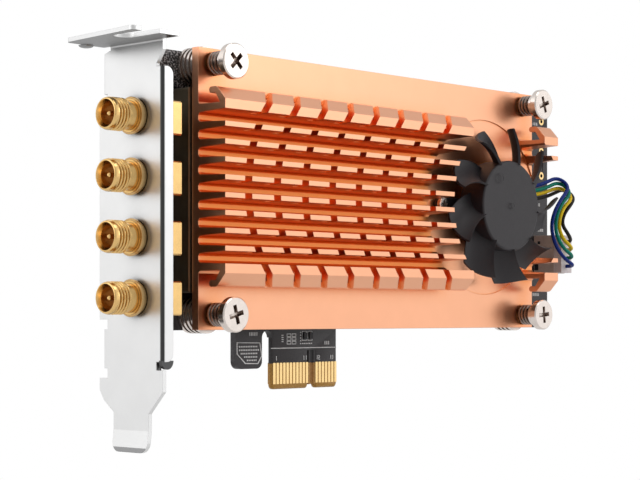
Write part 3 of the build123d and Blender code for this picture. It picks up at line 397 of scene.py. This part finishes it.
# Fan wires: smooth curves with the corner points of the route as control points, as (x, height, z) in millimetres
WIRE_DIAMETER = 0.9
WIRE_STEP = 0.9
WIRE_EXIT = (118.45, 6.9, 46.3)
WIRE_EXIT_RUN = 3.2
WIRE_BEVEL_STEPS = 5
WIRE_CURVE_STEPS = 10
PLUG_X = 138.95
PLUG_TOP = 8.2
PLUG_RISE = 1.56
PLUG_Z = {"blue": 27.8, "green": 29.8, "yellow": 31.8, "black": 33.8}
WIRE_MIDDLES = {
    "blue": [
        (126.80, 8.10, 46.98), (130.41, 8.79, 48.21), (133.17, 8.94, 49.17), (134.81, 9.92, 48.72),
        (135.17, 11.23, 47.42), (133.94, 12.10, 45.98), (131.20, 12.10, 43.70), (128.90, 11.80, 40.60),
        (128.40, 11.30, 37.30), (129.70, 11.00, 34.10), (131.80, 11.00, 31.40), (134.60, 11.20, 29.20),
        (137.37, 11.24, 28.15),
    ],
    "green": [
        (127.19, 8.10, 45.94), (130.74, 8.74, 46.97), (133.84, 8.78, 48.08), (135.63, 9.64, 47.69),
        (136.13, 10.95, 46.38), (135.03, 11.86, 44.95), (132.35, 11.77, 43.06), (130.41, 11.59, 40.26),
        (129.98, 11.31, 37.12), (131.38, 11.11, 34.26), (133.94, 11.18, 31.86), (137.19, 11.06, 30.50),
    ],
    "yellow": [
        (127.49, 7.99, 44.95), (131.02, 8.45, 45.92), (134.74, 8.50, 46.94), (136.59, 9.24, 46.55),
        (137.19, 10.51, 45.30), (136.21, 11.55, 43.92), (133.53, 11.46, 42.19), (131.86, 11.38, 39.63),
        (131.63, 11.21, 36.99), (133.37, 11.08, 34.37), (136.89, 10.98, 32.62),
    ],
    "black": [
        (127.90, 7.86, 43.94), (131.59, 8.13, 44.85), (135.21, 7.85, 45.92), (137.37, 7.88, 46.63),
        (138.87, 9.03, 46.04), (138.92, 10.45, 44.54), (137.18, 10.97, 42.96), (134.63, 10.51, 40.44),
        (134.06, 10.37, 37.75), (135.83, 11.07, 35.48),
    ],
}


def placed(x, height, z):
    """A point given in millimetres along the board, above its component face and up, as a place in metres."""
    return Vector((x, -height, z)) * MM


def fan_wire(order, colour):
    """One wire as a NURBS curve from the fan's base to the plug."""
    x, height, z = WIRE_EXIT
    exit_z = z - order * WIRE_STEP
    corners = [
        (x, height, exit_z), (x + WIRE_EXIT_RUN, height, exit_z), *WIRE_MIDDLES[colour],
        (PLUG_X, PLUG_TOP + PLUG_RISE, PLUG_Z[colour]), (PLUG_X, PLUG_TOP, PLUG_Z[colour]),
    ]
    data = bpy.data.curves.new(f"wire_{colour}", "CURVE")
    data.dimensions = "3D"
    data.bevel_depth = WIRE_DIAMETER / 2 * MM
    data.bevel_resolution = WIRE_BEVEL_STEPS
    data.use_fill_caps = True
    spline = data.splines.new("NURBS")
    spline.points.add(len(corners) - 1)
    for point, corner in zip(spline.points, corners):
        point.co = (*placed(*corner), 1)
    spline.order_u = 3
    spline.use_endpoint_u = True
    spline.resolution_u = WIRE_CURVE_STEPS
    wire = bpy.data.objects.new(f"wire_{colour}", data)
    scene.collection.objects.link(wire)
    data.materials.append(FINISHES[f"wire_{colour}"])
    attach(wire, "card")
    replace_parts(wire, f"fan_wire_{colour}")


for order, colour in enumerate(WIRE_MIDDLES):
    fan_wire(order, colour)


# Pieces made here: closed meshes from points in millimetres, each riding on a body
SHARP_ANGLE = 32


def fill(shape, vertices, faces):
    """Adds closed faces to a bmesh, with their normals outward."""
    made = [shape.verts.new(Vector(v) * MM) for v in vertices]
    new_faces = [shape.faces.new([made[i] for i in face]) for face in faces]
    bmesh.ops.recalc_face_normals(shape, faces=new_faces)


def piece(name, vertices, faces, finish_name, body="card", base=None):
    """A mesh object; base is a bmesh that the new faces are added to."""
    shape = base or bmesh.new()
    fill(shape, vertices, faces)
    mesh = bpy.data.meshes.new(name)
    for face in shape.faces:
        face.smooth = True
    shape.to_mesh(mesh)
    shape.free()
    mesh.set_sharp_from_angle(angle=radians(SHARP_ANGLE))
    mesh.materials.append(FINISHES[finish_name])
    obj = bpy.data.objects.new(name, mesh)
    scene.collection.objects.link(obj)
    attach(obj, body)
    return obj


def add_prism(vertices, faces, front, back):
    """Adds a closed prism between two outlines that have as many points each."""
    first, count = len(vertices), len(front)
    vertices += [*front, *back]
    faces += [tuple(range(first, first + count)), tuple(range(first + count, first + 2 * count))]
    for i in range(count):
        k = (i + 1) % count
        faces.append((first + i, first + k, first + count + k, first + count + i))


def rectangle(x0, z0, x1, z1):
    """The four corners of a rectangle."""
    return [(x0, z0), (x1, z0), (x1, z1), (x0, z1)]


def ring_faces(rows, turns, first=0):
    """Faces of a ring with this many rows round its section and this many turns of points in each row."""
    faces = []
    for i in range(rows):
        for j in range(turns):
            a, b, k = first + i * turns, first + (i + 1) % rows * turns, (j + 1) % turns
            faces.append((a + j, a + k, b + k, b + j))
    return faces


# Antenna jacks: the CAD block with a turned barrel that has its thread
JACK_HEIGHT = 7.4
JACK_Z = [19.0 + 11.6 * i for i in range(4)]
BARREL_START = -1.0
BARREL_TURNS = 64
THREAD_RADIUS = 3.175
THREAD_PITCH = 25.4 / 36
THREAD_DEPTH = 0.42
THREAD_FLAT = 0.12
THREAD_SLOPE = 0.72
THREAD_FROM = -4.0
THREAD_TO = -6.9
THREAD_FADE = 0.35
THREAD_STEPS = 34
NECK_START = -1.7
NECK_RADIUS = 2.75
BORE_RADIUS = 2.3
BARREL_END = -7.65
NOSE_RADIUS = 3.02
NOSE_ROUND = 0.3
NOSE_ANGLES = (0, 30, 60, 90)
MOUTH_RADIUS = 2.66
MOUTH_DEPTH = 0.9


def thread_cut(x, turn):
    """How deep the thread is cut, in millimetres, at a place along the barrel and a share of a turn."""
    phase = (x / THREAD_PITCH - turn) % 1.0
    slope = min(1.0, max(0.0, (abs(phase - 0.5) * 2 - THREAD_FLAT) / THREAD_SLOPE))
    ends = min(1.0, (THREAD_FROM - x) / THREAD_FADE, (x - THREAD_TO) / THREAD_FADE)
    return THREAD_DEPTH * (1 - slope) * max(0.0, ends)


def barrel_row(x, z, radii):
    """Points round a jack's axis, one for each radius."""
    angles = [2 * pi * j / BARREL_TURNS for j in range(BARREL_TURNS)]
    return [(x, -JACK_HEIGHT + radius * cos(a), z + radius * sin(a)) for a, radius in zip(angles, radii)]


def threaded_jack(number, z):
    """One jack: the CAD mesh up to the collar, then the threaded barrel."""
    base = bmesh.new()
    base.from_mesh(nodes[f"antenna_jack_{number}"].data)
    bmesh.ops.bisect_plane(base, geom=base.verts[:] + base.edges[:] + base.faces[:],
                           plane_co=(BARREL_START * MM, 0, 0), plane_no=(-1, 0, 0), clear_outer=True)
    neck = [(BARREL_START, BORE_RADIUS), (BARREL_START, THREAD_RADIUS), (NECK_START, THREAD_RADIUS),
            (NECK_START, NECK_RADIUS), (THREAD_FROM, NECK_RADIUS)]
    thread = [THREAD_FROM + (THREAD_TO - THREAD_FROM) * i / THREAD_STEPS for i in range(THREAD_STEPS + 1)]
    nose = [(BARREL_END + NOSE_ROUND * (1 - sin(radians(a))), NOSE_RADIUS - NOSE_ROUND * (1 - cos(radians(a))))
            for a in NOSE_ANGLES]
    nose += [(BARREL_END, MOUTH_RADIUS), (BARREL_END + MOUTH_DEPTH, BORE_RADIUS)]
    rows = [(x, [radius] * BARREL_TURNS) for x, radius in neck]
    rows += [(x, [THREAD_RADIUS - thread_cut(x, j / BARREL_TURNS) for j in range(BARREL_TURNS)]) for x in thread]
    rows += [(x, [radius] * BARREL_TURNS) for x, radius in nose]
    vertices = [point for x, radii in rows for point in barrel_row(x, z, radii)]
    jack = piece(f"jack_turned_{number}", vertices, ring_faces(len(rows), BARREL_TURNS), "jack_gold", base=base)
    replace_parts(jack, f"antenna_jack_{number}")


for number, z in enumerate(reversed(JACK_Z), start=1):
    threaded_jack(number, z)


# Collars between barrels and bracket: a thin disc on a smaller washer, as (x, radius) round the section
COLLAR = [(0.0, 2.7), (0.0, 3.2), (-0.95, 3.2), (-0.95, 3.5), (-1.03, 3.62), (-1.52, 3.62), (-1.6, 3.5), (-1.6, 2.7)]


def jack_collars():
    """The four collars as one piece."""
    vertices, faces = [], []
    for z in JACK_Z:
        faces += ring_faces(len(COLLAR), BARREL_TURNS, len(vertices))
        for x, radius in COLLAR:
            vertices += barrel_row(x, z, [radius] * BARREL_TURNS)
    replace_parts(piece("jack_collars", vertices, faces, "collar_gold"), "jack_nuts")


jack_collars()


# Raised ink and small parts on the board's component face, as (x from, z from, x to, z to) in millimetres
INK = 0.02
EDGE_LINE = (43.9, 8.62, 64.2, 8.80)
CONTACT_FIGURES = (("1", 45.1), ("11", 53.5), ("12", 57.7), ("18", 62.0))
FIGURE_Z = 6.1
FIGURE_STEP = 0.75
FIGURE_HIGH = 0.95
FIGURE_WIDE = 0.55 * FIGURE_HIGH
FIGURE_LINE = 0.15
PART_FRAMES = [(x, z, x + 1.3, z + 0.7) for x in (48.7, 50.25) for z in (9.5, 10.3, 11.1)]
PART_LINE = 0.14
CHIPS = ((53.65, 10.6, 54.6, 11.95), (55.4, 10.6, 56.35, 11.95))
CHIP_HIGH = 0.45
CHIP_FRAMES = [(x - 0.28, 10.25, x + 1.2, 12.3) for x in (53.65, 55.4)]
CHIP_LINE = 0.12
CHIP_MARKS = [(52.8, z, 53.1, z + 0.25) for z in (9.5, 10.1, 10.7, 11.3, 11.9)]
CHIP_MARKS += [(53.4 + 0.55 * i, 9.5, 53.75 + 0.55 * i, 9.75) for i in range(6)]
CHIP_MARKS += [(47.1, 10.0 + 0.45 * i, 47.7, 10.2 + 0.45 * i) for i in range(4)]
TAB_TOP = 9.0
TAB_ROWS = ((34.5, 5.7), (34.5, 6.1), (35.0, 5.4), (36.0, 4.3), (36.8, 3.0))
TAB_ROW_STEP = 0.72
TAB_DASH, TAB_DASH_HIGH, TAB_DASH_STEP = 0.3, 0.32, 0.5
CODES = (  # x, z and width
    (60.4, 9.35, 1.8), (37.5, 11.4, 2.6), (136.2, 63.0, 2.4), (138.4, 52.1, 1.3), (138.4, 42.9, 0.9),
    (136.4, 36.6, 4.6), (136.0, 20.5, 3.0),
)
CODE_STEP, CODE_THIN, CODE_THICKER, CODE_HIGH = 0.42, 0.14, 0.1, 0.75
TAB_LINE = [(33.82, 10.07), (40.69, 9.99), (41.28, 7.14), (40.1, 5.48), (36.28, 5.55), (33.82, 7.68)]
TAB_LINE_WIDE = 0.252

# Strokes of a figure: 0 top, 1 upper left, 2 upper right, 3 middle, 4 lower left, 5 lower right, 6 bottom
STROKES = {"1": (2, 5), "2": (0, 2, 3, 4, 6), "8": (0, 1, 2, 3, 4, 5, 6)}


def raised(boxes, name, finish_name, high=INK):
    """Thin closed boxes on the board's component face."""
    vertices, faces = [], []
    for box in boxes:
        front, back = ([(x, y, z) for x, z in rectangle(*box)] for y in (0.0, -high))
        add_prism(vertices, faces, front, back)
    return piece(name, vertices, faces, finish_name)


def frame_lines(x0, z0, x1, z1, w):
    """The four sides of a rectangle, each this wide."""
    return [(x0, z0, x1, z0 + w), (x0, z1 - w, x1, z1), (x0, z0 + w, x0 + w, z1 - w), (x1 - w, z0 + w, x1, z1 - w)]


def figure(mark, x, z):
    """One figure, with its lower left corner at x, z."""
    w, right, top, middle = FIGURE_LINE, x + FIGURE_WIDE, z + FIGURE_HIGH, z + FIGURE_HIGH / 2
    places = [
        (x, top - w, right, top), (x, middle, x + w, top), (right - w, middle, right, top),
        (x, middle - w / 2, right, middle + w / 2), (x, z, x + w, middle), (right - w, z, right, middle),
        (x, z, right, z + w),
    ]
    return [places[stroke] for stroke in STROKES[mark]]


def board_print():
    """Every line, frame, figure and code mark of the board, without the line round the tab's mark."""
    boxes = [EDGE_LINE]
    for text, x in CONTACT_FIGURES:
        for place, mark in enumerate(text):
            boxes += figure(mark, x + FIGURE_STEP * place, FIGURE_Z)
    for frames, line in ((PART_FRAMES, PART_LINE), (CHIP_FRAMES, CHIP_LINE)):
        for corners in frames:
            boxes += frame_lines(*corners, line)
    boxes += CHIP_MARKS
    for row, (start, wide) in enumerate(TAB_ROWS):
        z = TAB_TOP - TAB_ROW_STEP * row
        for i in range(int(wide / TAB_DASH_STEP)):
            x = start + TAB_DASH_STEP * i
            boxes.append((x, z, x + TAB_DASH, z + TAB_DASH_HIGH))
    for start, z, wide in CODES:
        for i in range(int(wide / CODE_STEP)):
            x = start + CODE_STEP * i
            boxes.append((x, z, x + CODE_THIN + CODE_THICKER * (i % 2), z + CODE_HIGH))
    return boxes


def band(corners, wide):
    """A raised closed line: a band between an outline and a smaller copy of it, this far inside at each corner."""
    count = len(corners)
    centre = Vector((sum(c[0] for c in corners), sum(c[1] for c in corners))) / count
    inner = [Vector(c) + (centre - Vector(c)).normalized() * wide for c in corners]
    vertices = [(x, y, z) for y in (0.0, -INK) for x, z in (*corners, *inner)]
    outer_low, inner_low, outer_high, inner_high = (count * i for i in range(4))
    faces = []
    for i in range(count):
        k = (i + 1) % count
        for a, b in ((outer_low, inner_low), (outer_high, inner_high), (outer_low, outer_high),
                     (inner_low, inner_high)):
            faces.append((a + i, a + k, b + k, b + i))
    return vertices, faces


raised(board_print(), "board_print", "silk_print")
raised(CHIPS, "filter_chips", "chip_plastic", CHIP_HIGH)
piece("tab_print", *band(TAB_LINE, TAB_LINE_WIDE), "silk_print")


# Flat rings: plated holes on the board, and small mould marks on the hub's face
HOLE_X = 139.7
HOLES_Z = (64.2, 56.7, 50.6)
HOLE_RADII = (0.46, 0.95)
HOLE_HIGH = 0.03
HOLE_TURNS = 40
HUB_X, HUB_Z = 108.05, 41.06
HUB_FACE = -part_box("fan_rotor")[0][1] / MM
HUB_MARKS = (  # name, place from the hub's middle and radii
    ("hub_gate_mark", (0.0, 0.0), (0.50, 0.72)),
    ("hub_mould_mark", (-4.6, 6.2), (0.95, 1.10)),
)
HUB_MARK_SUNK = 0.02
HUB_MARK_HIGH = 0.045
HUB_MARK_TURNS = 28


def flat_ring(x, z, radii, level, high, turns):
    """A flat ring on a face that looks along -Y and is this far above the board's component face."""
    inner, outer = radii
    vertices = []
    for radius, y in ((inner, -level), (outer, -level), (outer, -level - high), (inner, -level - high)):
        vertices += [(x + radius * cos(2 * pi * j / turns), y, z + radius * sin(2 * pi * j / turns))
                     for j in range(turns)]
    return vertices, ring_faces(4, turns)


for number, z in enumerate(HOLES_Z, start=1):
    piece(f"board_ring_{number}", *flat_ring(HOLE_X, z, HOLE_RADII, 0.0, HOLE_HIGH, HOLE_TURNS), "contact_gold")
for name, (across, up), radii in HUB_MARKS:
    mark = flat_ring(HUB_X + across, HUB_Z + up, radii, HUB_FACE - HUB_MARK_SUNK, HUB_MARK_HIGH, HUB_MARK_TURNS)
    piece(name, *mark, "fan_plastic", body="rotor")


# Locating dimple pressed down through the bracket's flange, as a shallow dome below the flange's lower face
DIMPLE_X, DIMPLE_Y, DIMPLE_Z = -4.3, 2.3, 67.8
DIMPLE_RADIUS = 1.5
DIMPLE_DEPTH = 0.5
DIMPLE_RINGS = 8
DIMPLE_TURNS = 36


def flange_dimple():
    """The dome's lowest point, its rings from there outward and its flat top."""
    vertices, faces = [(DIMPLE_X, DIMPLE_Y, DIMPLE_Z - DIMPLE_DEPTH)], []
    for i in range(1, DIMPLE_RINGS + 1):
        share = i / DIMPLE_RINGS
        radius, depth = DIMPLE_RADIUS * share, DIMPLE_DEPTH * (1 - share ** 2) ** 0.5
        for j in range(DIMPLE_TURNS):
            angle = 2 * pi * j / DIMPLE_TURNS
            vertices.append((DIMPLE_X + radius * cos(angle), DIMPLE_Y + radius * sin(angle), DIMPLE_Z - depth))
    for j in range(DIMPLE_TURNS):
        k = (j + 1) % DIMPLE_TURNS
        faces.append((0, 1 + j, 1 + k))
        for i in range(DIMPLE_RINGS - 1):
            a, b = 1 + i * DIMPLE_TURNS, 1 + (i + 1) * DIMPLE_TURNS
            faces.append((a + j, b + j, b + k, a + k))
    faces.append([1 + (DIMPLE_RINGS - 1) * DIMPLE_TURNS + j for j in range(DIMPLE_TURNS)])
    piece("flange_dimple", vertices, faces, "bracket_steel")


flange_dimple()


# Rounded end of the bracket's stiffening edge, turned in below it, in the bracket's steel with a painted shade
# colour
EDGE_END_X, EDGE_END_Z = 1.35, 7.12
EDGE_END_WIDE, EDGE_END_HIGH = 1.5, 1.68
EDGE_END_Y = (-14.9, -14.1)


def bracket_edge_end():
    """A half oval plate."""
    outline = [(EDGE_END_X + EDGE_END_WIDE * cos(radians(a)), EDGE_END_Z + EDGE_END_HIGH * sin(radians(a)))
               for a in range(180, 361, 15)]
    vertices, faces = [], []
    add_prism(vertices, faces, *([(x, y, z) for x, z in outline] for y in EDGE_END_Y))
    piece("bracket_edge_end", vertices, faces, "bent_steel_painted_shade")


bracket_edge_end()


# Board outline: rounded lower corners at the tab, an arch between tab and edge connector, and a narrower key
BOARD_BACK = 1.57
TAB_X = (33.55, 41.25)
TAB_BOTTOM = 4.5
TAB_ROUND = 1.6
CUT_MARGIN = 0.3
EDGE_START = 44.25
ARCH_SPRING = 11.0
ARCH_ROOT = 14.0
KEY_X = (55.45, 57.35)
KEY_NARROWER = 0.34
KEY_FROM = 0.8
KEY_TOP = 8.2
SAME_PLACE = 1e-6


def prism(shape, outline, front, back):
    """Adds a closed prism to a bmesh: outline in (x, z) millimetres, between two depths along Y."""
    vertices, faces = [], []
    add_prism(vertices, faces, *([(x, y, z) for x, z in outline] for y in (front, back)))
    fill(shape, vertices, faces)


def mesh_object(name, shape):
    """Links an object with a bmesh's shape."""
    mesh = bpy.data.meshes.new(name)
    shape.to_mesh(mesh)
    shape.free()
    obj = bpy.data.objects.new(name, mesh)
    scene.collection.objects.link(obj)
    return obj


def corner_cutter():
    """Prisms that leave the tab's two lower corners round."""
    shape = bmesh.new()
    for x, inward in ((TAB_X[0], 1), (TAB_X[1], -1)):
        outside = x - inward * CUT_MARGIN
        arc = [(x + inward * TAB_ROUND * (1 - cos(radians(a))), TAB_BOTTOM + TAB_ROUND * (1 - sin(radians(a))))
               for a in range(90, -1, -10)]
        outline = [*arc, (outside, TAB_BOTTOM + TAB_ROUND), (outside, TAB_BOTTOM - CUT_MARGIN),
                   (x + inward * TAB_ROUND, TAB_BOTTOM - CUT_MARGIN)]
        prism(shape, outline, -CUT_MARGIN, BOARD_BACK + CUT_MARGIN)
    return mesh_object("board_cutter", shape)


def shaped_board():
    """The CAD board with the tab's corners cut round, the arch filled in and the key's sides filled in."""
    shape = bmesh.new()
    shape.from_mesh(nodes["circuit_board"].data)
    bmesh.ops.remove_doubles(shape, verts=shape.verts, dist=SAME_PLACE)
    board = mesh_object("board_shaped", shape)
    cutter = corner_cutter()
    cut = board.modifiers.new("cut", "BOOLEAN")
    cut.operation = "DIFFERENCE"
    cut.solver = "EXACT"
    cut.object = cutter
    bpy.context.view_layer.update()
    result = bmesh.new()
    result.from_object(board, bpy.context.evaluated_depsgraph_get())
    board.modifiers.remove(cut)
    bpy.data.objects.remove(cutter)
    middle, half = (TAB_X[1] + EDGE_START) / 2, (EDGE_START - TAB_X[1]) / 2
    arch = [(middle + half * cos(radians(a)), ARCH_SPRING + half * sin(radians(a))) for a in range(0, 181, 10)]
    prism(result, [(EDGE_START, ARCH_ROOT), *arch, (TAB_X[1], ARCH_ROOT)], 0.0, BOARD_BACK)
    for x in (KEY_X[0], KEY_X[1] - KEY_NARROWER):
        prism(result, rectangle(x, KEY_FROM, x + KEY_NARROWER, KEY_TOP), 0.0, BOARD_BACK)
    result.to_mesh(board.data)
    result.free()
    board.data.set_sharp_from_angle(angle=radians(SHARP_ANGLE))
    board.data.materials.append(FINISHES["board_mask"])
    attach(board, "card")
    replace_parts(board, "circuit_board")


shaped_board()


# Painted shade for openings in the header's side: thin dark plates, as (y from, z from, y to, z to)
HEADER_SIDE = 136.7
OPENING_PROUD = 0.02
HEADER_OPENING_SHADES = ((-1.3, 26.9, -0.1, 28.4), (-1.9, 33.4, -1.1, 34.1))


def header_opening_shades():
    """Thin dark plates of painted shade through the header's side, one for each opening."""
    vertices, faces = [], []
    for opening in HEADER_OPENING_SHADES:
        sides = (HEADER_SIDE + OPENING_PROUD, HEADER_SIDE - OPENING_PROUD)
        add_prism(vertices, faces, *([(x, y, z) for y, z in rectangle(*opening)] for x in sides))
    piece("header_opening_shades", vertices, faces, "chip_plastic")


header_opening_shades()


# Floor, well below the card, which hangs by its bracket: white to the camera, with the card's shadow on it
FLOOR_DROP = 0.12
FLOOR_REACH = 0.7
FLOOR_LOOK = dict(colour=(0.42, 0.42, 0.42), roughness=0.7, vary=0.01, vary_scale=2, rough_vary=0.03, grain=300,
                  bump=0.05)
FLOOR_GLOW = 0.85


def pale_floor():
    """A square floor round the card, with the white background in its glow."""
    mesh = bpy.data.meshes.new("floor")
    r = FLOOR_REACH
    mesh.from_pydata([(-r, -r, 0), (r, -r, 0), (r, r, 0), (-r, r, 0)], [], [(0, 1, 2, 3)])
    floor = bpy.data.objects.new("floor", mesh)
    floor.location = (0, 0, -FLOOR_DROP)
    scene.collection.objects.link(floor)
    paint = finish("floor_paint", **FLOOR_LOOK)
    tree = paint.node_tree
    shader = tree.nodes["Principled BSDF"]
    shader.inputs["Emission Color"].default_value = WHITE
    tree.links.new(math_node(tree, "MULTIPLY", sees_white(tree), FLOOR_GLOW), shader.inputs["Emission Strength"])
    mesh.materials.append(paint)


pale_floor()
